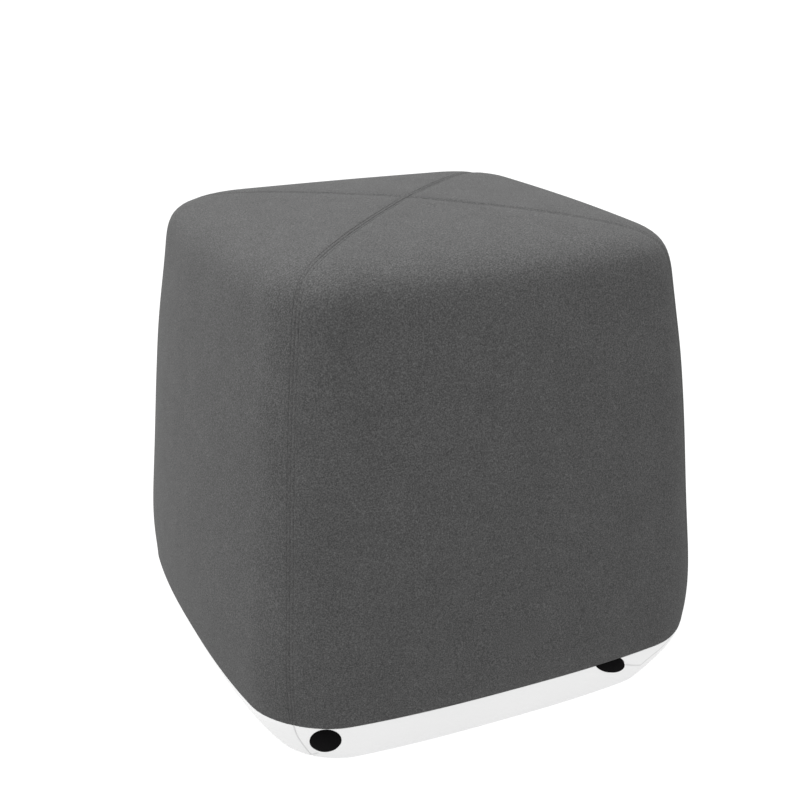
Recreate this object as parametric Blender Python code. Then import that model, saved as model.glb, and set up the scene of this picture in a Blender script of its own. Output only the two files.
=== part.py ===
import math
from collections import namedtuple

import bmesh
import bpy
import numpy as np
from mathutils import Matrix, Vector

# Sizes are in metres, heights are above the floor.
RIM_HEIGHT = 0.0550  # where the cloth ends and the base begins
UNDERSIDE_HEIGHT = 0.0040  # the feet hold the base this far up
GAP = 0.0003  # between pieces that meet
COVER_STEP = 0.0010  # the cloth's edge stands this far out from the base
COVER_EDGE = 0.0015  # height of the turned edge at the bottom of the cloth

# The level sections of the whole pouf, from the crown down to the underside.
# half_width runs from the axis to the middle of a side, corner_radius rounds
# the four corners, and bow is how far a side's middle stands out past its ends.
Level = namedtuple("Level", "height half_width corner_radius bow")
LEVELS = (
    Level(0.4340, 0.0000, 0.0000, 0.0000),
    Level(0.4317, 0.0715, 0.0255, 0.0025),
    Level(0.4243, 0.1465, 0.0440, 0.0055),
    Level(0.4104, 0.1820, 0.0445, 0.0120),
    Level(0.3785, 0.1945, 0.0370, 0.0185),
    Level(0.3155, 0.2045, 0.0400, 0.0205),
    Level(0.2355, 0.2140, 0.0435, 0.0230),
    Level(0.1535, 0.2220, 0.0470, 0.0250),
    Level(0.0950, 0.2240, 0.0515, 0.0225),
    Level(0.0715, 0.2225, 0.0535, 0.0210),
    Level(RIM_HEIGHT, 0.2188, 0.0580, 0.0175),
    Level(0.0320, 0.2080, 0.0530, 0.0155),
    Level(UNDERSIDE_HEIGHT, 0.1880, 0.0450, 0.0120),
)
RIM_ROW = 10
STEPS_BETWEEN_LEVELS = 4
CORNER_STEPS = 4  # from a corner's diagonal to the end of its arc
SIDE_STEPS = 8
CORNER_ANGLE = math.radians(45)  # of a corner's diagonal from its side's normal

# A sewn channel follows each diagonal over the crown and down the corners.
CHANNEL_RADIUS = 0.0035
CHANNEL_DEPTH = 0.0015
CHANNEL_SIDES = 2  # bevel resolution of the round cutters
CREASE_RADIUS = 0.0006  # fine moulded line down each corner of the base
CREASE_SIDES = 0
RUN_ON = 0.0100  # a cutter runs on this far past what it cuts

# A foot is a slanting plug of oval section. Its flat sole stands on the floor
# under the base's diagonal, and its head shows in the skirt of the base.
# The places are those of the front pair; the back pair is the front pair
# turned half round.
FOOT_ACROSS = 0.0280
FOOT_ALONG = 0.0320
FOOT_SEGMENTS = 32
HEAD_STANDS_OUT = 0.0006
SOLE_OFFSET = 0.1455  # of a sole's centre from the axis, along X and along Y
HeadPlace = namedtuple("HeadPlace", "side x y height")
HEADS = (
    HeadPlace("left", -0.1646, -0.1955, 0.0375),
    HeadPlace("right", 0.0976, -0.2132, 0.0524),
)
OTHER_SIDE = {"left": "right", "right": "left"}

Finish = namedtuple("Finish", "colour roughness metallic")
WOOL = Finish((0.085, 0.085, 0.086, 1.0), 0.95, 0.0)
WHITE_SHELL = Finish((0.80, 0.80, 0.80, 1.0), 0.55, 0.0)
BLACK_RUBBER = Finish((0.006, 0.006, 0.006, 1.0), 0.70, 0.0)

SHARP_ANGLE = math.radians(35)
WELD_DISTANCE = 0.00001


def clear_scene():
    for thing in list(bpy.data.objects):
        bpy.data.objects.remove(thing, do_unlink=True)


def new_collection(name):
    collection = bpy.data.collections.new(name)
    bpy.context.scene.collection.children.link(collection)
    return collection


def new_object(name, data, collection):
    thing = bpy.data.objects.new(name, data)
    collection.objects.link(thing)
    return thing


def new_material(name, finish):
    material = bpy.data.materials.new(name)
    material.use_nodes = True
    shader = material.node_tree.nodes["Principled BSDF"]
    shader.inputs["Base Color"].default_value = finish.colour
    shader.inputs["Roughness"].default_value = finish.roughness
    shader.inputs["Metallic"].default_value = finish.metallic
    return material


def shade(thing, material):
    thing.data.materials.append(material)
    thing.data.shade_smooth()
    thing.data.set_sharp_from_angle(angle=SHARP_ANGLE)


def mark_as_cutter(thing):
    thing.hide_render = True
    thing.display_type = "WIRE"
    return thing


def cut(thing, cutter, operation="DIFFERENCE"):
    boolean = thing.modifiers.new(cutter.name, "BOOLEAN")
    boolean.solver = "EXACT"
    boolean.operation = operation
    boolean.object = cutter


def smooth_through(places, values, wanted):
    """A cubic spline through the values, straight at both of its ends."""
    step = np.diff(places)
    slope = np.diff(values, axis=0) / step[:, None]
    count = len(places)
    system = np.eye(count)
    turn = np.zeros_like(values)
    for k in range(1, count - 1):
        system[k, k - 1] = step[k - 1]
        system[k, k] = 2 * (step[k - 1] + step[k])
        system[k, k + 1] = step[k]
        turn[k] = 6 * (slope[k] - slope[k - 1])
    bend = np.linalg.solve(system, turn)
    k = np.clip(np.searchsorted(places, wanted) - 1, 0, count - 2)
    ahead = (places[k + 1] - wanted)[:, None]
    behind = (wanted - places[k])[:, None]
    width = step[k][:, None]
    start = values[k] / width - bend[k] * width / 6
    end = values[k + 1] / width - bend[k + 1] * width / 6
    curved = (bend[k] * ahead**3 + bend[k + 1] * behind**3) / (6 * width)
    return curved + start * ahead + end * behind


def smooth_levels():
    """The table's levels with more between them. The rows next to the crown
    are repeated on its far side, so that the surface is level there."""
    rows = np.array(LEVELS)
    far_side = rows[2:0:-1] * (1, -1, -1, 1)
    rows = np.vstack((far_side, rows))
    travel = np.hypot(np.diff(rows[:, 0]), np.diff(rows[:, 1]))
    places = np.concatenate(([0.0], np.cumsum(travel)))
    wanted = []
    for k in range(len(far_side), len(rows) - 1):
        wanted.extend(np.linspace(places[k], places[k + 1], STEPS_BETWEEN_LEVELS, endpoint=False))
    wanted.append(places[-1])
    return [Level(*values) for values in smooth_through(places, rows, np.array(wanted))]


def bowed(x, y, level):
    reach = level.half_width
    return (
        x * (1 - level.bow / reach * (y / reach) ** 2),
        y * (1 - level.bow / reach * (x / reach) ** 2),
    )


def quarter_outline(level):
    """The +X side of a section, from its corner at -Y up to the next one."""
    flat = level.half_width - level.corner_radius
    lower_arc = []
    for k in range(CORNER_STEPS):
        angle = -CORNER_ANGLE * (1 - k / CORNER_STEPS)
        x = flat + level.corner_radius * math.cos(angle)
        y = -flat + level.corner_radius * math.sin(angle)
        lower_arc.append((x, y))
    side = [(level.half_width, flat * (2 * k / SIDE_STEPS - 1)) for k in range(SIDE_STEPS + 1)]
    upper_arc = [(x, -y) for x, y in reversed(lower_arc[1:])]
    return lower_arc + side + upper_arc


def section_points(level):
    points = []
    for turn in range(4):
        quarter = Matrix.Rotation(math.radians(90 * turn), 3, "Z")
        for x, y in quarter_outline(level):
            points.append(quarter @ Vector((*bowed(x, y, level), level.height)))
    return points


def corner_distance(level):
    """How far a section's corner lies from the axis."""
    if level.half_width == 0:
        return 0.0
    along = level.half_width - level.corner_radius * (1 - math.cos(CORNER_ANGLE))
    return math.hypot(*bowed(along, along, level))


def corner_direction(turn):
    return Matrix.Rotation(CORNER_ANGLE + math.radians(90 * turn), 3, "Z") @ Vector((1, 0, 0))


def loft(name, levels, collection):
    """A closed solid through level sections, top to bottom. A first section
    of no width is the point where the crown closes."""
    mesh = bmesh.new()
    rings = []
    for level in levels:
        if level.half_width == 0:
            rings.append([mesh.verts.new((0, 0, level.height))])
        else:
            rings.append([mesh.verts.new(point) for point in section_points(level)])
    for above, below in zip(rings, rings[1:]):
        count = len(below)
        for k in range(count):
            after = (k + 1) % count
            if len(above) == 1:
                mesh.faces.new((above[0], below[k], below[after]))
            else:
                mesh.faces.new((above[k], below[k], below[after], above[after]))
    if len(rings[0]) > 1:
        mesh.faces.new(rings[0])
    mesh.faces.new(reversed(rings[-1]))
    bmesh.ops.recalc_face_normals(mesh, faces=mesh.faces)
    data = bpy.data.meshes.new(name)
    mesh.to_mesh(data)
    mesh.free()
    return new_object(name, data, collection)


def tube(name, points, radius, resolution, cutters):
    """A closed tube along the points, for cutting with."""
    curve = bpy.data.curves.new(name, "CURVE")
    curve.dimensions = "3D"
    curve.bevel_depth = radius
    curve.bevel_resolution = resolution
    curve.use_fill_caps = True
    line = curve.splines.new("POLY")
    line.points.add(len(points) - 1)
    for point, place in zip(line.points, points):
        point.co = (*place, 1)
    guide = new_object(name + "_guide", curve, cutters)
    evaluated = guide.evaluated_get(bpy.context.evaluated_depsgraph_get())
    data = bpy.data.meshes.new_from_object(evaluated)
    bpy.data.objects.remove(guide, do_unlink=True)
    mesh = bmesh.new()
    mesh.from_mesh(data)
    bmesh.ops.remove_doubles(mesh, verts=mesh.verts, dist=WELD_DISTANCE)
    bmesh.ops.recalc_face_normals(mesh, faces=mesh.faces)
    mesh.to_mesh(data)
    mesh.free()
    return mark_as_cutter(new_object(name, data, cutters))


def corner_path(levels, lift):
    """Distances from the axis and heights down one corner, lifted off the
    surface and run on past the lowest level."""
    places = [Vector((corner_distance(level), level.height)) for level in levels]
    places.append(places[-1] + (places[-1] - places[-2]).normalized() * RUN_ON)
    path = []
    for k, place in enumerate(places):
        before = places[max(k - 1, 0)]
        after = places[min(k + 1, len(places) - 1)]
        along = (after - before).normalized()
        path.append(place + Vector((-along.y, along.x)) * lift)
    return path


def points_down(path, turn):
    return [corner_direction(turn) * out + Vector((0, 0, height)) for out, height in path]


def make_cover(levels, collection, cutters):
    """The filled body in its cloth, with a channel along both diagonals."""
    rim = levels[-1]
    turned = rim._replace(height=rim.height + COVER_EDGE)
    edge = rim._replace(height=rim.height + GAP, half_width=rim.half_width - COVER_EDGE / 2)
    cover = loft("cover", levels[:-1] + [turned, edge], collection)
    path = corner_path(levels, CHANNEL_RADIUS - CHANNEL_DEPTH)
    for turn, name in enumerate(("channel_rising", "channel_falling")):
        far_side = points_down(path, turn + 2)
        points = far_side[:0:-1] + points_down(path, turn)
        cut(cover, tube(name, points, CHANNEL_RADIUS, CHANNEL_SIDES, cutters))
    shade(cover, new_material("wool", WOOL))


def set_back(levels, distance):
    return [level._replace(half_width=level.half_width - distance) for level in levels]


def make_base(levels, collection, cutters):
    """The white shell that carries the cover and draws in to the floor."""
    skirt = set_back(levels, COVER_STEP)
    base = loft("base", skirt, collection)
    path = corner_path(skirt, 0.0)
    path.insert(0, 2 * path[0] - path[1])
    for turn in range(4):
        name = "crease_%d" % (turn + 1)
        cut(base, tube(name, points_down(path, turn), CREASE_RADIUS, CREASE_SIDES, cutters))
    shade(base, new_material("white_shell", WHITE_SHELL))
    return base


def plug(name, head, grown, collection):
    """A slanting plug of oval section, from its sole out through its head
    and on past the rim."""
    sole = Vector((math.copysign(SOLE_OFFSET, head.x), math.copysign(SOLE_OFFSET, head.y), 0))
    lean = (Vector((head.x, head.y, 0)) - sole) / head.height
    length = RIM_HEIGHT + RUN_ON
    mesh = bmesh.new()
    bmesh.ops.create_cone(
        mesh, cap_ends=True, segments=FOOT_SEGMENTS, radius1=0.5, radius2=0.5, depth=1.0
    )
    size = Matrix.Diagonal((FOOT_ALONG + 2 * grown, FOOT_ACROSS + 2 * grown, length, 1))
    standing = Matrix.Translation((0, 0, length / 2))
    turned = Matrix.Rotation(math.atan2(lean.y, lean.x), 4, "Z")
    slanted = Matrix.Identity(4)
    slanted[0][2] = lean.x
    slanted[1][2] = lean.y
    placed = Matrix.Translation(sole) @ slanted @ turned @ standing @ size
    bmesh.ops.transform(mesh, matrix=placed, verts=mesh.verts)
    data = bpy.data.meshes.new(name)
    mesh.to_mesh(data)
    mesh.free()
    return new_object(name, data, collection)


def foot_places():
    for head in HEADS:
        yield "foot_front_" + head.side, head
    for head in HEADS:
        side = OTHER_SIDE[head.side]
        yield "foot_back_" + side, HeadPlace(side, -head.x, -head.y, head.height)


def make_feet(levels, base, collection, cutters):
    """Four plugs let through the base, cut to the slope of its skirt."""
    rubber = new_material("black_rubber", BLACK_RUBBER)
    outline = set_back(levels, COVER_STEP - HEAD_STANDS_OUT)
    floor = outline[-1]._replace(height=0.0)
    limit = mark_as_cutter(loft("foot_limit", outline + [floor], cutters))
    for name, head in foot_places():
        foot = plug(name, head, 0.0, collection)
        cut(foot, limit, "INTERSECT")
        shade(foot, rubber)
        socket = plug("socket_" + name, head, GAP, cutters)
        cut(base, mark_as_cutter(socket))


def main():
    clear_scene()
    pouf = new_collection("cube_pouf")
    cutters = new_collection("cutters")
    levels = smooth_levels()
    rim = RIM_ROW * STEPS_BETWEEN_LEVELS
    make_cover(levels[: rim + 1], pouf, cutters)
    base = make_base(levels[rim:], pouf, cutters)
    make_feet(levels[rim:], base, pouf, cutters)


main()
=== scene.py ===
import math

import bpy
import numpy as np
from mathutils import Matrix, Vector
from mathutils.bvhtree import BVHTree


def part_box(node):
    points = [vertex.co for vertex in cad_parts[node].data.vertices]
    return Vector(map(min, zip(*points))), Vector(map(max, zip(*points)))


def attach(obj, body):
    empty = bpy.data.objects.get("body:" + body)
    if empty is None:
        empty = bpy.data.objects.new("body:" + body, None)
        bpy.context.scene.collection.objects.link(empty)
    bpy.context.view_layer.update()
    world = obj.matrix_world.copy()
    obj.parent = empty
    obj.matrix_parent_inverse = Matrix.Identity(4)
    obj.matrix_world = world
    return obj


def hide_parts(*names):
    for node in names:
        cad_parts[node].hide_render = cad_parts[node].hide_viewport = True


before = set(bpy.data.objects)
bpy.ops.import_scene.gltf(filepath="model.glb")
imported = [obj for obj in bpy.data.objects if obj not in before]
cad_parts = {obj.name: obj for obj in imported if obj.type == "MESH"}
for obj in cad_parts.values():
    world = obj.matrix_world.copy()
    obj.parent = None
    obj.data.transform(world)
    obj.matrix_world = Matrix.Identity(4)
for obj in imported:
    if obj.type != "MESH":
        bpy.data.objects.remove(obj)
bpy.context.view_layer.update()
scene = bpy.context.scene
print("frame loaded:", sorted(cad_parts))

# Level sections of the whole pouf from the crown down, in metres:
# height, half width, corner radius, and how far the side's middle bows out.
form = {
    "levels": [
        (0.4332, 0.0000, 0.0000, 0.0000),
        (0.4309, 0.0715, 0.0255, 0.0025),
        (0.4235, 0.1465, 0.0440, 0.0055),
        (0.4096, 0.1820, 0.0455, 0.0120),
        (0.3780, 0.1940, 0.0405, 0.0185),
        (0.3155, 0.2040, 0.0435, 0.0205),
        (0.2355, 0.2135, 0.0465, 0.0230),
        (0.1535, 0.2215, 0.0495, 0.0250),
        (0.0950, 0.2235, 0.0535, 0.0225),
        (0.0715, 0.2220, 0.0555, 0.0210),
        (0.0555, 0.2189, 0.0580, 0.0175),
        (0.0320, 0.2080, 0.0550, 0.0155),
        (0.0040, 0.1880, 0.0455, 0.0120),
    ],
    "rimRow": 10,  # where the cloth ends and the base begins
    "bowPower": 2.6,  # above 2, a side is flatter in its middle and bends more near its corners
    "outlineSteps": 24,  # points that draw half of one side before columns are laid on it
    "edgeClearance": 1.2,  # levels within this many radii of a rounded edge give way to it
}
crownHeight = form["levels"][0][0]
rimHeight = form["levels"][form["rimRow"]][0]
undersideHeight = form["levels"][-1][0]


def addObject(name, data):
    thing = bpy.data.objects.new(name, data)
    scene.collection.objects.link(thing)
    return thing


def remove(thing):
    bpy.data.objects.remove(thing, do_unlink=True)


def evaluatedMesh(thing):
    graph = bpy.context.evaluated_depsgraph_get()
    return bpy.data.meshes.new_from_object(thing.evaluated_get(graph), depsgraph=graph)


def positions(mesh):
    values = np.zeros(len(mesh.vertices) * 3)
    mesh.vertices.foreach_get("co", values)
    return values.reshape(-1, 3)


def normals(mesh):
    values = np.zeros(len(mesh.vertices) * 3)
    mesh.vertex_normals.foreach_get("vector", values)
    return values.reshape(-1, 3)


def setPositions(mesh, values):
    mesh.vertices.foreach_set("co", values.astype(np.float32).ravel())
    mesh.update()


# Half a turn about the upright axis.
def turnRound(mesh):
    setPositions(mesh, positions(mesh) * (-1, -1, 1))


def smoothShading(thing, sharpFrom):
    thing.data.shade_smooth()
    thing.data.set_sharp_from_angle(angle=math.radians(sharpFrom))


# A cubic spline through the values, straight at both ends.
def splineThrough(places, values, wanted):
    step = np.diff(places)
    slope = np.diff(values, axis=0) / step[:, None]
    system = np.eye(len(places))
    turn = np.zeros_like(values)
    for k in range(1, len(places) - 1):
        system[k, k - 1: k + 2] = step[k - 1], 2 * (step[k - 1] + step[k]), step[k]
        turn[k] = 6 * (slope[k] - slope[k - 1])
    bend = np.linalg.solve(system, turn)
    k = np.clip(np.searchsorted(places, wanted) - 1, 0, len(places) - 2)
    ahead, behind, width = places[k + 1] - wanted, wanted - places[k], step[k]
    ahead, behind, width = ahead[:, None], behind[:, None], width[:, None]
    curved = (bend[k] * ahead**3 + bend[k + 1] * behind**3) / (6 * width)
    start = values[k] / width - bend[k] * width / 6
    end = values[k + 1] / width - bend[k + 1] * width / 6
    return curved + start * ahead + end * behind


# Levels down the form between two of the table's rows, evenly spaced,
# with the first ones at the given distances.
def levelsBetween(firstRow, lastRow, spacing, firstSteps=()):
    rows = np.array(form["levels"])
    farSide = rows[2:0:-1] * (1, -1, -1, 1)  # keeps the crown level at its middle
    rows = np.vstack((farSide, rows))
    travel = np.hypot(np.diff(rows[:, 0]), np.diff(rows[:, 1]))
    places = np.concatenate(([0.0], np.cumsum(travel)))
    start, end = places[len(farSide) + firstRow], places[len(farSide) + lastRow]
    closer = start + np.array(firstSteps)
    start = closer[-1] if len(closer) else start
    even = np.linspace(start, end, round((end - start) / spacing) + 1)
    return splineThrough(places, rows, np.concatenate((closer[:-1], even)))


# Half of one side of a level section, from its corner to the side's middle:
# columns at fixed distances from the corner, closer where there is little room,
# then at shares of what is left.
def halfSide(level, columns):
    reach, radius, bow = level[1:]
    steps = form["outlineSteps"]
    angle = np.linspace(-math.pi / 4, 0, steps)
    flat = reach - radius
    x = np.concatenate((flat + radius * np.cos(angle), np.full(steps, reach)))
    y = np.concatenate((-flat + radius * np.sin(angle), np.linspace(-flat, 0, steps + 1)[1:]))
    drawnIn, power = bow / reach, form["bowPower"]
    x, y = x * (1 - drawnIn * abs(y / reach) ** power), y * (1 - drawnIn * abs(x / reach) ** power)
    along = np.concatenate(([0.0], np.cumsum(np.hypot(np.diff(x), np.diff(y)))))
    strip = np.array(columns["besideCorner"])
    strip = strip * min(1.0, along[-1] / (2 * strip[-1]))
    shares = np.linspace(0, 1, columns["open"] + 1)[1:] ** columns["crowding"]
    wanted = np.concatenate((strip, strip[-1] + (along[-1] - strip[-1]) * shares))
    return np.interp(wanted, along, x), np.interp(wanted, along, y)


def levelRing(level, columns):
    x, y = halfSide(level, columns)
    x, y = np.concatenate((x, x[-2:0:-1])), np.concatenate((y, -y[-2:0:-1]))
    ring = []
    for cosine, sine in ((1, 0), (0, 1), (-1, 0), (0, -1)):
        ring.append(np.column_stack((cosine * x - sine * y, sine * x + cosine * y)))
    ring = np.vstack(ring)
    return np.column_stack((ring, np.full(len(ring), level[0])))


# The levels above the given height, then a rounded edge that turns inwards there.
def roundedBelow(levels, height, radius, steps):
    above = levels[levels[:, 0] > height + form["edgeClearance"] * radius]
    last = above[-1]
    drop = last[0] - levels[-1][0]
    start = last + (levels[-1] - last) * (last[0] - height - radius) / drop
    corner = levels[-1].copy()
    corner[0] = height
    end = corner - (0, radius, 0, 0)
    edge = []
    for share in np.linspace(0, 1, steps + 1):
        edge.append((1 - share) ** 2 * start + 2 * share * (1 - share) * corner + share**2 * end)
    return np.vstack((above, edge))


# Four-sided faces between each ring and the next one down.
def wallFaces(rings):
    count = len(rings[0])
    faces = []
    for row in range(len(rings) - 1):
        above, below = row * count, (row + 1) * count
        for k in range(count):
            after = (k + 1) % count
            faces.append((above + k, below + k, below + after, above + after))
    return faces


# A closed skin over rings from top to bottom, whose ends close in a point
# where one is given and in a flat face where it isn't.
def skinMesh(name, rings, topPoint=None, bottomPoint=None):
    count = len(rings[0])
    ends = [[point] for point in (topPoint, bottomPoint) if point is not None]
    points = np.vstack(rings + ends)
    topIndex = len(rings) * count
    bottomIndex = topIndex + (topPoint is not None)
    faces = wallFaces(rings)
    lastRing = (len(rings) - 1) * count
    if topPoint is None:
        faces.append(list(range(count)))
    else:
        faces += [(topIndex, k, (k + 1) % count) for k in range(count)]
    if bottomPoint is None:
        faces.append([lastRing + k for k in reversed(range(count))])
    else:
        faces += [(bottomIndex, lastRing + (k + 1) % count, lastRing + k) for k in range(count)]
    mesh = bpy.data.meshes.new(name)
    mesh.from_pydata(points.tolist(), [], faces)
    mesh.update()
    return mesh


# The mesh's points down its four corners.
def cornerLines(mesh, rings):
    points = positions(mesh)
    count = len(rings[0])
    lines = []
    for corner in range(4):
        column = corner * count // 4
        lines.append([points[row * count + column] for row in range(len(rings))])
    return lines


def linesObject(name, lines):
    curve = bpy.data.curves.new(name, "CURVE")
    curve.dimensions = "3D"
    for points in lines:
        line = curve.splines.new("POLY")
        line.points.add(len(points) - 1)
        for point, place in zip(line.points, points):
            point.co = (*place, 1)
    return addObject(name, curve)


# Distance from the nearer of the two diagonals, where all the seams run.
def seamDistance(points):
    x, y = points[:, 0], points[:, 1]
    return np.minimum(np.abs(x - y), np.abs(x + y)) / math.sqrt(2)


# Node trees

def addNode(tree, kind, **settings):
    node = tree.nodes.new(kind)
    for name, value in settings.items():
        setattr(node, name, value)
    return node


def setInputs(node, values):
    for label, value in values.items():
        node.inputs[label].default_value = value


def plug(tree, value, socket):
    if isinstance(value, bpy.types.NodeSocket):
        tree.links.new(value, socket)
    else:
        socket.default_value = value


def mathNode(tree, operation, *values):
    node = addNode(tree, "ShaderNodeMath", operation=operation)
    for value, socket in zip(values, node.inputs):
        plug(tree, value, socket)
    return node.outputs[0]


def vectorNode(tree, operation, *values):
    node = addNode(tree, "ShaderNodeVectorMath", operation=operation)
    for value, socket in zip(values, node.inputs):
        plug(tree, value, socket)
    return node.outputs["Value" if operation in ("DOT_PRODUCT", "DISTANCE") else "Vector"]


def scaledVector(tree, vector, factor):
    node = addNode(tree, "ShaderNodeVectorMath", operation="SCALE")
    plug(tree, vector, node.inputs["Vector"])
    plug(tree, factor, node.inputs["Scale"])
    return node.outputs["Vector"]


# A Mix node keeps its colours in inputs 6 and 7 and in output 2.
def mixedColour(tree, share, first, second, blend="MIX"):
    node = addNode(tree, "ShaderNodeMix", data_type="RGBA", blend_type=blend)
    plug(tree, share, node.inputs["Factor"])
    plug(tree, first, node.inputs[6])
    plug(tree, second, node.inputs[7])
    return node.outputs[2]


def newTree(name, kind, inputs, outputs):
    tree = bpy.data.node_groups.new(name, kind)
    for label, holds, value in inputs:
        socket = tree.interface.new_socket(name=label, in_out="INPUT", socket_type="NodeSocket" + holds)
        if value is not None:
            socket.default_value = value
    for label, holds in outputs:
        tree.interface.new_socket(name=label, in_out="OUTPUT", socket_type="NodeSocket" + holds)
    return tree, addNode(tree, "NodeGroupInput").outputs, addNode(tree, "NodeGroupOutput").inputs


# Runs a geometry tree on the object and gives back the plain mesh it makes.
def grown(thing, tree, values):
    modifier = thing.modifiers.new(tree.name, "NODES")
    modifier.node_group = tree
    for item in tree.interface.items_tree:
        if item.in_out == "INPUT" and item.name in values:
            modifier[item.identifier] = values[item.name]
    mesh = evaluatedMesh(thing)
    thing.modifiers.remove(modifier)
    return mesh


def finishTree(tree, geometry, material, output):
    real = addNode(tree, "GeometryNodeRealizeInstances")
    plug(tree, geometry, real.inputs["Geometry"])
    painted = addNode(tree, "GeometryNodeSetMaterial")
    plug(tree, real.outputs["Geometry"], painted.inputs["Geometry"])
    plug(tree, material, painted.inputs["Material"])
    plug(tree, painted.outputs["Geometry"], output)


# 1 where the distance is nothing, dying out softly over the width.
def bell(tree, distance, width):
    share = mathNode(tree, "DIVIDE", distance, width)
    square = mathNode(tree, "MULTIPLY", share, share)
    return mathNode(tree, "EXPONENT", mathNode(tree, "MULTIPLY", square, -1))


# Presses a line into a surface along the given curves, with a soft band round
# it and a finer groove at each side. All can go deeper where the surface is level.
def pressedLineTree():
    tree, given, made = newTree(
        "pressedLine", "GeometryNodeTree",
        [
            ("Surface", "Geometry", None),
            ("Lines", "Object", None),
            ("Depth", "Float", 0.001),
            ("Width", "Float", 0.001),
            ("Band depth", "Float", 0.0),
            ("Band width", "Float", 0.01),
            ("Groove distance", "Float", 0.003),
            ("Groove depth", "Float", 0.0),
            ("Groove width", "Float", 0.001),
            ("Deeper on top", "Float", 0.0),
            ("Top sharpness", "Float", 1.0),
            ("Material", "Material", None),
        ],
        [("Surface", "Geometry")],
    )
    lines = addNode(tree, "GeometryNodeObjectInfo")
    plug(tree, given["Lines"], lines.inputs["Object"])
    edges = addNode(tree, "GeometryNodeCurveToMesh")
    plug(tree, lines.outputs["Geometry"], edges.inputs["Curve"])
    nearest = addNode(tree, "GeometryNodeProximity", target_element="EDGES")
    plug(tree, edges.outputs["Mesh"], nearest.inputs[0])
    distance = nearest.outputs["Distance"]
    line = mathNode(tree, "MULTIPLY", bell(tree, distance, given["Width"]), given["Depth"])
    band = mathNode(tree, "MULTIPLY", bell(tree, distance, given["Band width"]), given["Band depth"])
    fromGroove = mathNode(tree, "SUBTRACT", distance, given["Groove distance"])
    groove = mathNode(tree, "MULTIPLY", bell(tree, fromGroove, given["Groove width"]), given["Groove depth"])
    depth = mathNode(tree, "ADD", mathNode(tree, "ADD", line, band), groove)
    outward = addNode(tree, "GeometryNodeInputNormal").outputs["Normal"]
    upright = mathNode(tree, "MAXIMUM", vectorNode(tree, "DOT_PRODUCT", outward, (0, 0, 1)), 0.0)
    level = mathNode(tree, "POWER", upright, given["Top sharpness"])
    deeper = mathNode(tree, "ADD", mathNode(tree, "MULTIPLY", level, given["Deeper on top"]), 1.0)
    inward = mathNode(tree, "MULTIPLY", mathNode(tree, "MULTIPLY", depth, deeper), -1)
    pressed = addNode(tree, "GeometryNodeSetPosition")
    plug(tree, given["Surface"], pressed.inputs["Geometry"])
    plug(tree, scaledVector(tree, outward, inward), pressed.inputs["Offset"])
    finishTree(tree, pressed.outputs["Geometry"], given["Material"], made["Surface"])
    return tree


# One stitch after another along each given curve.
def stitchTree():
    tree, given, made = newTree(
        "stitchLine", "GeometryNodeTree",
        [
            ("Lines", "Geometry", None),
            ("Pitch", "Float", 0.004),
            ("Length", "Float", 0.003),
            ("Thickness", "Float", 0.0005),
            ("Unevenness", "Float", 0.1),
            ("Seed", "Int", 1),
            ("Material", "Material", None),
        ],
        [("Stitches", "Geometry")],
    )
    spaced = addNode(tree, "GeometryNodeResampleCurve", mode="LENGTH")
    plug(tree, given["Lines"], spaced.inputs["Curve"])
    plug(tree, given["Pitch"], spaced.inputs["Length"])
    bead = addNode(tree, "GeometryNodeMeshUVSphere")
    setInputs(bead, {"Segments": 8, "Rings": 6, "Radius": 0.5})  # 1 across, so its scale is its size
    size = addNode(tree, "ShaderNodeCombineXYZ")
    for label, axis in (("Thickness", "X"), ("Thickness", "Y"), ("Length", "Z")):
        plug(tree, given[label], size.inputs[axis])
    oneStitch = addNode(tree, "GeometryNodeTransform")
    plug(tree, bead.outputs["Mesh"], oneStitch.inputs["Geometry"])
    plug(tree, size.outputs["Vector"], oneStitch.inputs["Scale"])
    along = addNode(tree, "FunctionNodeAlignRotationToVector", axis="Z")
    plug(tree, addNode(tree, "GeometryNodeInputTangent").outputs["Tangent"], along.inputs["Vector"])
    # A Random Value node keeps plain numbers in inputs 2 and 3 and in output 1.
    share = addNode(tree, "FunctionNodeRandomValue", data_type="FLOAT")
    plug(tree, mathNode(tree, "SUBTRACT", 1.0, given["Unevenness"]), share.inputs[2])
    plug(tree, mathNode(tree, "ADD", 1.0, given["Unevenness"]), share.inputs[3])
    plug(tree, given["Seed"], share.inputs["Seed"])
    placed = addNode(tree, "GeometryNodeInstanceOnPoints")
    plug(tree, spaced.outputs["Curve"], placed.inputs["Points"])
    plug(tree, oneStitch.outputs["Geometry"], placed.inputs["Instance"])
    plug(tree, along.outputs["Rotation"], placed.inputs["Rotation"])
    plug(tree, share.outputs[1], placed.inputs["Scale"])
    finishTree(tree, placed.outputs["Instances"], given["Material"], made["Stitches"])
    return tree


noise = {
    "look": {"Detail": 2.0, "Roughness": 0.6},
    "range": {"From Min": 0.25, "From Max": 0.75},  # nearly all of its values lie between these
}


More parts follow.
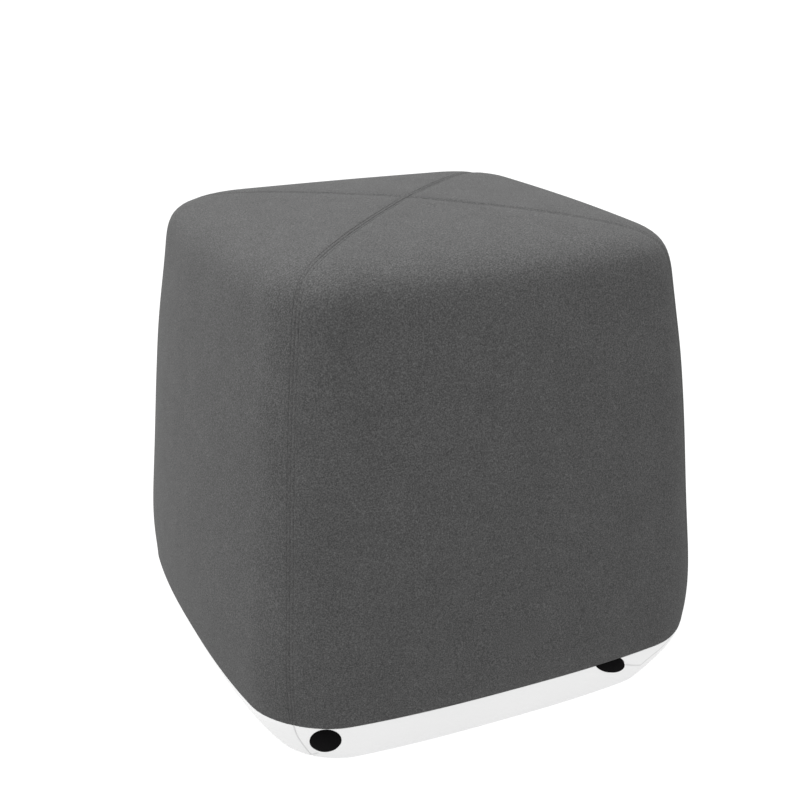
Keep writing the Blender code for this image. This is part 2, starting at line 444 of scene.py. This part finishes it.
# Uneven fine grain in two sizes, for colour and for bump.
def grainTree():
    tree, given, made = newTree(
        "fineGrain", "ShaderNodeTree",
        [
            ("Grain size", "Float", 0.001),
            ("Cloud size", "Float", 0.02),
            ("Cloud share", "Float", 0.2),
            ("Fleck sharpness", "Float", 1.0),
            ("Dark", "Color", (0, 0, 0, 1)),
            ("Light", "Color", (1, 1, 1, 1)),
        ],
        [("Colour", "Color"), ("Height", "Float")],
    )
    place = addNode(tree, "ShaderNodeTexCoord").outputs["Object"]
    grains = []
    for size in ("Grain size", "Cloud size"):
        grain = addNode(tree, "ShaderNodeTexNoise")
        setInputs(grain, noise["look"])
        plug(tree, place, grain.inputs["Vector"])
        plug(tree, mathNode(tree, "DIVIDE", 1.0, given[size]), grain.inputs["Scale"])
        grains.append(grain.outputs["Fac"])
    mixed = addNode(tree, "ShaderNodeMix", data_type="FLOAT")
    plug(tree, given["Cloud share"], mixed.inputs["Factor"])
    plug(tree, grains[0], mixed.inputs["A"])
    plug(tree, grains[1], mixed.inputs["B"])
    spread = addNode(tree, "ShaderNodeMapRange")
    setInputs(spread, noise["range"])
    plug(tree, mixed.outputs["Result"], spread.inputs["Value"])
    lightness = mathNode(tree, "POWER", spread.outputs["Result"], given["Fleck sharpness"])
    plug(tree, mixedColour(tree, lightness, given["Dark"], given["Light"]), made["Colour"])
    plug(tree, grains[0], made["Height"])
    return tree


finishes = {
    "wool": {
        "grain": {
            "Grain size": 0.0011, "Cloud size": 0.03, "Cloud share": 0.08, "Fleck sharpness": 1.6,
            "Dark": (0.040, 0.040, 0.040, 1), "Light": (0.128, 0.128, 0.128, 1),
        },
        "bump": {"Strength": 0.15, "Distance": 0.0004},
        "surface": {"Roughness": 0.95, "Specular IOR Level": 0.03, "Sheen Weight": 0.04},
    },
    "thread": {
        "grain": {
            "Grain size": 0.0004, "Cloud size": 0.01, "Cloud share": 0.1, "Fleck sharpness": 1.0,
            "Dark": (0.030, 0.030, 0.030, 1), "Light": (0.070, 0.070, 0.070, 1),
        },
        "bump": {"Strength": 0.3, "Distance": 0.0001},
        "surface": {"Roughness": 0.8, "Specular IOR Level": 0.2, "Sheen Weight": 0.0},
    },
    "whiteShell": {
        "grain": {
            "Grain size": 0.0016, "Cloud size": 0.06, "Cloud share": 0.5, "Fleck sharpness": 1.0,
            "Dark": (0.76, 0.76, 0.76, 1), "Light": (0.79, 0.79, 0.79, 1),
        },
        "bump": {"Strength": 0.08, "Distance": 0.0001},
        "surface": {"Roughness": 0.55, "Specular IOR Level": 0.30, "Sheen Weight": 0.0},
    },
    "blackRubber": {
        "grain": {
            "Grain size": 0.0008, "Cloud size": 0.008, "Cloud share": 0.3, "Fleck sharpness": 1.0,
            "Dark": (0.001, 0.001, 0.001, 1), "Light": (0.004, 0.0035, 0.004, 1),
        },
        "bump": {"Strength": 0.3, "Distance": 0.0001},
        "surface": {"Roughness": 0.85, "Specular IOR Level": 0.02, "Sheen Weight": 0.0},
    },
}


def grainedMaterial(name, fineGrain):
    material = bpy.data.materials.new(name)
    material.use_nodes = True
    tree = material.node_tree
    shader = tree.nodes["Principled BSDF"]
    grain = addNode(tree, "ShaderNodeGroup", node_tree=fineGrain)
    bump = addNode(tree, "ShaderNodeBump")
    for node, part in ((grain, "grain"), (bump, "bump"), (shader, "surface")):
        setInputs(node, finishes[name][part])
    plug(tree, grain.outputs["Height"], bump.inputs["Height"])
    plug(tree, grain.outputs["Colour"], shader.inputs["Base Color"])
    plug(tree, bump.outputs["Normal"], shader.inputs["Normal"])
    return material


fineGrain = grainTree()
wool = grainedMaterial("wool", fineGrain)
thread = grainedMaterial("thread", fineGrain)
whiteShell = grainedMaterial("whiteShell", fineGrain)
blackRubber = grainedMaterial("blackRubber", fineGrain)
pressedLine = pressedLineTree()
stitchLine = stitchTree()
print("node trees and materials made")


# The cushion: its filling is simulated, then a fine cloth is laid over it.

filling = {
    "weld": 0.00005,  # joins the solid's loose triangles
    "voxel": 0.006,
    "inset": 0.0008,  # the cloth starts this much inside where it is free, and swells back
    "seamHold": 0.030,  # how far the shaped corners, rim and shoulder hold the cloth
    "rimHold": 0.018,
    "rimStrip": 0.003,  # all the cloth this close to the rim is held fast
    "shoulderHeight": 0.405, "shoulderHold": 0.022,
    "shoulderShare": 0.8,  # the shoulder holds this much of what a seam holds
    "pressure": 7.0,
    "frames": 20,
    "mostMoved": 0.0045,
    "reach": 0.02,  # how far off the plain form the swollen body is looked for
    "smoothing": 14,
}


def heldShare(points, solidRim):
    height = points[:, 2]
    seam = np.exp(-((seamDistance(points) / filling["seamHold"]) ** 2))
    rim = np.exp(-(((height - solidRim) / filling["rimHold"]) ** 2))
    shoulder = np.exp(-(((height - filling["shoulderHeight"]) / filling["shoulderHold"]) ** 2))
    free = (1 - seam) * (1 - rim) * (1 - filling["shoulderShare"] * shoulder)
    return np.where(height < solidRim + filling["rimStrip"], 1.0, 1 - free)


def simulateFilling():
    body = addObject("filling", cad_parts["cover"].data.copy())
    body.modifiers.new("weld", "WELD").merge_threshold = filling["weld"]
    remesh = body.modifiers.new("remesh", "REMESH")
    remesh.mode = "VOXEL"
    remesh.voxel_size = filling["voxel"]
    body.data = evaluatedMesh(body)
    body.modifiers.clear()
    points = positions(body.data)
    held = heldShare(points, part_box("cover")[0].z)
    start = points - normals(body.data) * filling["inset"] * (1 - held[:, None])
    setPositions(body.data, start)
    group = body.vertex_groups.new(name="held")
    for index, share in enumerate(held.tolist()):
        group.add([index], share, "REPLACE")
    cloth = body.modifiers.new("cloth", "CLOTH").settings
    cloth.vertex_group_mass = "held"
    cloth.use_pressure = True
    cloth.uniform_pressure_force = filling["pressure"]
    cloth.effector_weights.gravity = 0
    for number in range(1, filling["frames"] + 1):
        scene.frame_set(number)
    swollen = positions(evaluatedMesh(body))
    scene.frame_set(1)
    body.modifiers.clear()
    moved = swollen - start
    length = np.maximum(np.linalg.norm(moved, axis=1, keepdims=True), 1e-9)  # never 0, to divide by
    setPositions(body.data, start + moved * np.minimum(1, filling["mostMoved"] / length))
    print("filling swelled by up to %.1f mm" % (1000 * length.max()))
    return body


# How far the swollen body stands off the plain form, point by point,
# each evened out with its neighbours along and across the rows.
def swelling(body, points, outward, rows):
    tree = BVHTree.FromObject(body, bpy.context.evaluated_depsgraph_get())
    reach = filling["reach"]
    found = np.zeros(rows * (len(points) // rows))
    for k in range(len(found)):
        start = Vector(points[k] + outward[k] * reach)
        place, _, _, travel = tree.ray_cast(start, Vector(-outward[k]), 2 * reach)
        if place is not None:
            found[k] = reach - travel
    grid = found.reshape(rows, -1)
    for _ in range(filling["smoothing"]):
        sideways = (np.roll(grid, 1, 1) + np.roll(grid, -1, 1)) / 2
        padded = np.vstack((grid[:1], grid, grid[-1:]))
        grid = (2 * grid + sideways + (padded[:-2] + padded[2:]) / 2) / 4
    return np.concatenate((grid.ravel(), [grid[0].mean()]))


cover = {
    "rowSpacing": 0.0045,
    "crownSteps": (0.0007, 0.0015, 0.0024, 0.0035, 0.0048, 0.0063, 0.0080, 0.0100, 0.0125, 0.0155),
    "columns": {
        "besideCorner": [
            0.0, 0.0003, 0.0006, 0.0010, 0.0015, 0.0020, 0.0023, 0.0026,
            0.0029, 0.0032, 0.0035, 0.0040, 0.0048, 0.0060, 0.0080,
        ],
        "open": 20, "crowding": 1.3,
    },
    "edgeRadius": 0.0015,  # of the turned edge above the base
    "edgeSteps": 4,
    "edgeFade": 0.012,  # swelling and thickness die out over this height above the edge
    "thickness": 0.0011,  # of the cloth over its filling
    "seam": {  # the groove distance is also one of the columns beside a corner
        "Depth": 0.00045, "Width": 0.0005, "Band depth": 0.0002, "Band width": 0.0060,
        "Groove distance": 0.0029, "Groove depth": 0.00036, "Groove width": 0.0004,
        "Deeper on top": 0.85, "Top sharpness": 60.0,
    },
    "sharpFrom": 60,  # degrees
}


def coverRings():
    levels = levelsBetween(0, form["rimRow"], cover["rowSpacing"], cover["crownSteps"])
    levels = roundedBelow(levels, rimHeight, cover["edgeRadius"], cover["edgeSteps"])
    return [levelRing(level, cover["columns"]) for level in levels]


def makeCushion(body):
    rings = coverRings()
    mesh = skinMesh("cushion", rings, topPoint=(0, 0, crownHeight))
    points, outward = positions(mesh), normals(mesh)
    lift = np.zeros(len(points))
    if body is not None:
        lift = swelling(body, points, outward, len(rings))
    lift = (lift + cover["thickness"]) * np.clip((points[:, 2] - rimHeight) / cover["edgeFade"], 0, 1)
    print("cloth lies %.1f to %.1f mm off the plain form" % (1000 * lift.min(), 1000 * lift.max()))
    setPositions(mesh, points + outward * lift[:, None])
    cushion = addObject("cushion", mesh)
    lines = linesObject("seamLines", cornerLines(mesh, rings))
    cushion.data = grown(cushion, pressedLine, {"Lines": lines, "Material": wool, **cover["seam"]})
    remove(lines)
    smoothShading(cushion, cover["sharpFrom"])
    print("cushion made:", len(cushion.data.polygons), "faces")
    return cushion, rings


stitches = {
    "sunk": 0.0001,  # how far the thread's middle lies below the cloth
    "crownStart": 0.0046,  # where a panel's two rows meet beside the crown's crossing
    "crownEnd": 0.028, "crownStep": 0.002,  # up to here, points are found from above
    "columnsFrom": 0.03,  # from here out, a row follows its column of the cloth
    "thread": {"Pitch": 0.0042, "Length": 0.0030, "Thickness": 0.0005, "Unevenness": 0.12, "Seed": 4},
}


def makeStitches(cushion, rings):
    count, fromSeam = len(rings[0]), cover["seam"]["Groove distance"]
    strip = cover["columns"]["besideCorner"].index(fromSeam)
    points, outward = positions(cushion.data), normals(cushion.data)
    tree = BVHTree.FromObject(cushion, bpy.context.evaluated_depsgraph_get())
    overhead, down = Vector((0, 0, 1)), Vector((0, 0, -1))
    nearCrown = np.arange(stitches["crownStart"], stitches["crownEnd"], stitches["crownStep"])
    fromAxis = [np.hypot(*ring[0][:2]) for ring in rings[:-1]]
    rows = [row for row, distance in enumerate(fromAxis) if distance > stitches["columnsFrom"]]
    lines = []
    for corner in range(4):
        angle = -math.pi / 4 + corner * math.pi / 2
        along = Vector((math.cos(angle), math.sin(angle), 0))
        for side in (1, -1):
            across = Vector((-along.y, along.x, 0)) * side * fromSeam
            line = []
            for distance in nearCrown:
                place, facing = tree.ray_cast(along * distance + across + overhead, down)[:2]
                line.append(place - facing * stitches["sunk"])
            column = (corner * count // 4 + side * strip) % count
            for row in rows:
                index = row * count + column
                line.append(Vector(points[index] - outward[index] * stitches["sunk"]))
            lines.append(line)
    guide = linesObject("stitchGuide", lines)
    piece = addObject("topStitching", grown(guide, stitchLine, {"Material": thread, **stitches["thread"]}))
    remove(guide)
    piece.data.shade_smooth()
    print("stitches made:", len(piece.data.polygons), "faces")
    return piece


# The base and its feet

base = {
    "setBack": 0.0004,  # from the plain form, behind the cloth's edge
    "rowSpacing": 0.0010,
    "columns": {
        "besideCorner": [
            0.0, 0.0002, 0.0004, 0.0006, 0.0008, 0.0010, 0.0013, 0.0018, 0.0025, 0.0035, 0.0050, 0.0075,
        ],
        "open": 26, "crowding": 1.2,
    },
    "edgeRadius": 0.0025, "edgeSteps": 5,
    "undersideShares": (0.97, 0.93, 0.88, 0.8, 0.7, 0.58, 0.45, 0.32, 0.2, 0.1, 0.04),  # of its edge
    "crease": {"Depth": 0.0006, "Width": 0.0006},
    "sharpFrom": 40,  # degrees
    "lineWidth": 0.0011,
    "linePaintedShade": 0.76,  # painted shade in the moulded lines and corner creases, as a share of the shell's own colour
    "lineRelief": 2.0,  # depth, in heights of the shell's grain
    "linePaths": [  # fine moulded lines to the front feet; the back has the same, turned half round
        [(-0.1670, -0.1680, 0.0080), (-0.1655, -0.1725, 0.0110), (-0.1645, -0.1765, 0.0145)],
        [
            (0.1680, -0.2035, 0.0550), (0.1575, -0.2055, 0.0485), (0.1480, -0.2060, 0.0435),
            (0.1425, -0.2040, 0.0380), (0.1390, -0.2010, 0.0315), (0.1270, -0.2055, 0.0375),
            (0.1165, -0.2095, 0.0435),
        ],
    ],
}


def skirtLevels():
    lastRow = len(form["levels"]) - 1
    levels = levelsBetween(form["rimRow"], lastRow, base["rowSpacing"])
    levels[:, 1] -= base["setBack"]
    return levels


# The skirt by itself, as a surface that the feet and the moulded lines are laid on.
def skirtSurface():
    rings = [levelRing(level, base["columns"]) for level in skirtLevels()]
    return BVHTree.FromPolygons(np.vstack(rings).tolist(), wallFaces(rings))


def makeBase(sockets):
    levels = skirtLevels()
    levels = roundedBelow(levels, levels[-1][0], base["edgeRadius"], base["edgeSteps"])
    underside = [levels[-1] * (1, share, share, share) for share in base["undersideShares"]]
    rings = [levelRing(level, base["columns"]) for level in np.vstack((levels, underside))]
    middle = (0, 0, levels[-1][0])
    drawnIn = addObject("drawnInBase", skinMesh("drawnInBase", rings, bottomPoint=middle))
    lines = linesObject("creaseLines", cornerLines(drawnIn.data, rings[:len(levels)]))
    drawnIn.data = grown(drawnIn, pressedLine, {"Lines": lines, "Material": whiteShell, **base["crease"]})
    remove(lines)
    for socket in sockets:
        hole = drawnIn.modifiers.new(socket.name, "BOOLEAN")
        hole.solver = "EXACT"
        hole.object = socket
    drawnIn.data = evaluatedMesh(drawnIn)
    drawnIn.modifiers.clear()
    for socket in sockets:
        remove(socket)
    smoothShading(drawnIn, base["sharpFrom"])
    print("base made:", len(drawnIn.data.polygons), "faces")
    return drawnIn


# Distance from a point to a straight stretch between two others.
def stretchTree():
    tree, given, made = newTree(
        "stretchDistance", "ShaderNodeTree",
        [("Point", "Vector", None), ("From", "Vector", None), ("To", "Vector", None)],
        [("Distance", "Float")],
    )
    offset = vectorNode(tree, "SUBTRACT", given["Point"], given["From"])
    stretch = vectorNode(tree, "SUBTRACT", given["To"], given["From"])
    reached = vectorNode(tree, "DOT_PRODUCT", offset, stretch)
    share = mathNode(tree, "DIVIDE", reached, vectorNode(tree, "DOT_PRODUCT", stretch, stretch))
    share.node.use_clamp = True
    nearest = scaledVector(tree, stretch, share)
    plug(tree, vectorNode(tree, "DISTANCE", offset, nearest), made["Distance"])
    return tree


# Adds the fine moulded lines to the shell's material, as painted shade in its colour and in relief,
# laid on the skirt, and paints shade into its corner creases.
def drawMouldedLines(material, skirt):
    tree = material.node_tree
    stretchDistance = stretchTree()
    parts = addNode(tree, "ShaderNodeSeparateXYZ")
    plug(tree, addNode(tree, "ShaderNodeTexCoord").outputs["Object"], parts.inputs["Vector"])
    x, y, z = (parts.outputs[axis] for axis in "XYZ")
    fromMiddle = [mathNode(tree, "ABSOLUTE", side) for side in (x, y)]
    towardsFront = mathNode(tree, "MULTIPLY", mathNode(tree, "SIGN", y), -1)
    folded = addNode(tree, "ShaderNodeCombineXYZ")  # the back turned half round onto the front
    plug(tree, mathNode(tree, "MULTIPLY", x, towardsFront), folded.inputs["X"])
    plug(tree, mathNode(tree, "MULTIPLY", fromMiddle[1], -1), folded.inputs["Y"])
    plug(tree, z, folded.inputs["Z"])
    fromCorner = mathNode(tree, "ABSOLUTE", mathNode(tree, "SUBTRACT", *fromMiddle))
    below = mathNode(tree, "LESS_THAN", z, undersideHeight + base["edgeRadius"])
    distance = mathNode(tree, "ADD", fromCorner, below)  # no crease goes on under the base
    for path in base["linePaths"]:
        path = [skirt.find_nearest(Vector(point))[0] for point in path]
        for start, end in zip(path, path[1:]):
            stretch = addNode(tree, "ShaderNodeGroup", node_tree=stretchDistance)
            plug(tree, folded.outputs["Vector"], stretch.inputs["Point"])
            setInputs(stretch, {"From": start, "To": end})
            distance = mathNode(tree, "MINIMUM", distance, stretch.outputs["Distance"])
    # where shade is painted: along the moulded lines and down the corner creases
    line = bell(tree, distance, base["lineWidth"])
    shader = tree.nodes["Principled BSDF"]
    colour = shader.inputs["Base Color"].links[0].from_socket
    bump = shader.inputs["Normal"].links[0].from_node
    height = bump.inputs["Height"].links[0].from_socket
    paintedShade = (base["linePaintedShade"], base["linePaintedShade"], base["linePaintedShade"], 1)
    # painted shade: the shell's colour is darkened along the lines and creases
    plug(tree, mixedColour(tree, line, colour, paintedShade, "MULTIPLY"), shader.inputs["Base Color"])
    sunk = mathNode(tree, "MULTIPLY", line, base["lineRelief"])
    plug(tree, mathNode(tree, "SUBTRACT", height, sunk), bump.inputs["Height"])


# Each foot is a slanting oval plug: its sole is flat on the floor under the
# base's diagonal, and its head shows in the base's skirt.
feet = {
    "across": 0.0256, "along": 0.0294,
    "soleOffset": 0.1455,  # of a sole's middle from the axis, along X and along Y
    "heads": {"Left": (-0.1643, -0.1955, 0.0381), "Right": (0.0968, -0.2132, 0.0515)},  # of the front pair
    "headStandsOut": 0.0006,
    "soleRadius": 0.0010,
    "columns": 64, "headRings": 14, "wallRings": 8, "soleRings": 5,
    "headCrowding": 1.6,  # above 1, the head's rings crowd towards its edge
    "clearance": 0.0003,  # between a foot and its socket
    "cutterPast": 0.01,  # how far a socket's cutter goes past the rim's height and the floor
    "sharpFrom": 50,  # degrees
}


def slant(head):
    offset = feet["soleOffset"]
    sole = np.array([math.copysign(offset, head[0]), math.copysign(offset, head[1]), 0])
    lean = (np.array([head[0], head[1], 0]) - sole) / head[2] + (0, 0, 1)
    return sole, lean


def oval(lean, larger=0.0):
    turned = math.atan2(lean[1], lean[0])
    angle = np.linspace(0, 2 * math.pi, feet["columns"], endpoint=False)
    along = (feet["along"] / 2 + larger) * np.cos(angle)
    across = (feet["across"] / 2 + larger) * np.sin(angle)
    x = along * math.cos(turned) - across * math.sin(turned)
    y = along * math.sin(turned) + across * math.cos(turned)
    return np.column_stack((x, y, np.zeros(len(x))))


def makeSocket(name, head):
    sole, lean = slant(head)
    outline = oval(lean, feet["clearance"])
    heights = (rimHeight + feet["cutterPast"], -feet["cutterPast"])
    return addObject(name, skinMesh(name, [sole + lean * height + outline for height in heights]))


def makeFoot(name, head, skirt):
    sole, lean = slant(head)
    outline = oval(lean)
    standOut, radius = feet["headStandsOut"], feet["soleRadius"]

    # Where a line along the foot leaves the skirt, plus the rise, and no higher than the rim.
    def headPoint(offset, rise):
        start = sole + offset
        place = skirt.ray_cast(Vector(start), Vector(lean))[0]
        if place is None or place.z + rise >= rimHeight:
            return start + lean * rimHeight
        return np.array(place) + lean / np.linalg.norm(lean) * rise

    rings = []
    for share in 1 - np.linspace(1, 0, feet["headRings"] + 1)[1:] ** feet["headCrowding"]:
        fromEdge = min(1.0, (1 - share) * feet["across"] / 2 / standOut)
        rise = math.sqrt(1 - (1 - fromEdge) ** 2) * standOut
        rings.append(np.array([headPoint(offset * share, rise) for offset in outline]))
    edgeHeight = rings[-1][:, 2:]
    for share in np.linspace(1, 0, feet["wallRings"] + 1)[1:]:
        rings.append(sole + lean * (radius + (edgeHeight - radius) * share) + outline)
    for k in range(1, feet["soleRings"] + 1):
        angle = math.pi / 2 * k / feet["soleRings"]
        inset = radius * (1 - math.cos(angle)) / (feet["across"] / 2)
        rings.append(sole + lean * radius * (1 - math.sin(angle)) + outline * (1 - inset))
    topPoint = headPoint(np.zeros(3), standOut)
    foot = addObject(name, skinMesh(name, rings, topPoint=topPoint, bottomPoint=sole))
    foot.data.materials.append(blackRubber)
    smoothShading(foot, feet["sharpFrom"])
    return foot


# Pale floor, even white surroundings and two soft lights

studio = {
    "surroundings": {"Color": (1, 1, 1, 1), "Strength": 1.0},
    "floorSize": 60.0,
    "floor": {
        "Base Color": (0.08, 0.08, 0.08, 1), "Roughness": 0.9, "Specular IOR Level": 0.0,
        "Emission Color": (1, 1, 1, 1), "Emission Strength": 0.96,
    },
    "lights": {  # azimuth from the front towards the right side, in degrees
        "overheadLight": {"azimuth": 165, "elevation": 75, "strength": 1.75, "softness": 45},
        "sideLight": {"azimuth": -120, "elevation": 60, "strength": 2.5, "softness": 45},
    },
}


def makeStudio():
    world = bpy.data.worlds.new("surroundings")
    world.use_nodes = True
    setInputs(world.node_tree.nodes["Background"], studio["surroundings"])
    scene.world = world
    half = studio["floorSize"] / 2
    corners = [(-half, -half, 0), (half, -half, 0), (half, half, 0), (-half, half, 0)]
    mesh = bpy.data.meshes.new("floor")
    mesh.from_pydata(corners, [], [(0, 1, 2, 3)])
    paint = bpy.data.materials.new("paleFloor")
    paint.use_nodes = True
    setInputs(paint.node_tree.nodes["Principled BSDF"], studio["floor"])
    mesh.materials.append(paint)
    addObject("floor", mesh)
    for name, values in studio["lights"].items():
        light = bpy.data.lights.new(name, "SUN")
        light.energy = values["strength"]
        light.angle = math.radians(values["softness"])
        lamp = addObject(name, light)
        lamp.rotation_euler = (math.radians(90 - values["elevation"]), 0, math.radians(values["azimuth"]))
    scene.view_settings.view_transform = "Standard"


view = {
    "place": (-0.4782, -1.0394, 0.6646),
    "azimuth": -25.34, "elevation": 20.26,  # degrees
    "sensorWidth": 36.0,
    "focalPixels": 1301.64, "framePixels": 800,
    "middleRight": 20.80, "middleDown": 0.2,  # pixels from the frame's middle to the lens's axis
}


def makeCamera():
    data = bpy.data.cameras.new("photoView")
    data.sensor_width = view["sensorWidth"]
    data.lens = view["focalPixels"] / view["framePixels"] * view["sensorWidth"]
    data.shift_x = -view["middleRight"] / view["framePixels"]
    data.shift_y = view["middleDown"] / view["framePixels"]
    camera = addObject("photoView", data)
    camera.location = view["place"]
    camera.rotation_euler = (math.radians(90 - view["elevation"]), 0, math.radians(view["azimuth"]))
    scene.camera = camera


makeCamera()
makeStudio()
print("camera and light placed")

filled = simulateFilling()
cushion, rings = makeCushion(filled)
if filled is not None:
    remove(filled)
topStitching = makeStitches(cushion, rings)

skirt = skirtSurface()
drawMouldedLines(whiteShell, skirt)
footPieces, sockets = {}, []
frontPlaces = [("Front", "Left", "Left"), ("Front", "Right", "Right")]
backPlaces = [("Back", "Right", "Left"), ("Back", "Left", "Right")]  # the front ones turned half round
for end, side, frontSide in frontPlaces + backPlaces:
    head = feet["heads"][frontSide]
    foot = makeFoot("foot" + end + side, head, skirt)
    socket = makeSocket("socket" + end + side, head)
    if end == "Back":
        turnRound(foot.data)
        turnRound(socket.data)
    footPieces["foot_%s_%s" % (end.lower(), side.lower())] = foot
    sockets.append(socket)
drawnInBase = makeBase(sockets)
print("feet made")

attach(cushion, "root")
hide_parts("cover")
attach(topStitching, "root")
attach(drawnInBase, "root")
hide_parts("base")
for node, piece in footPieces.items():
    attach(piece, "root")
    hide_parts(node)
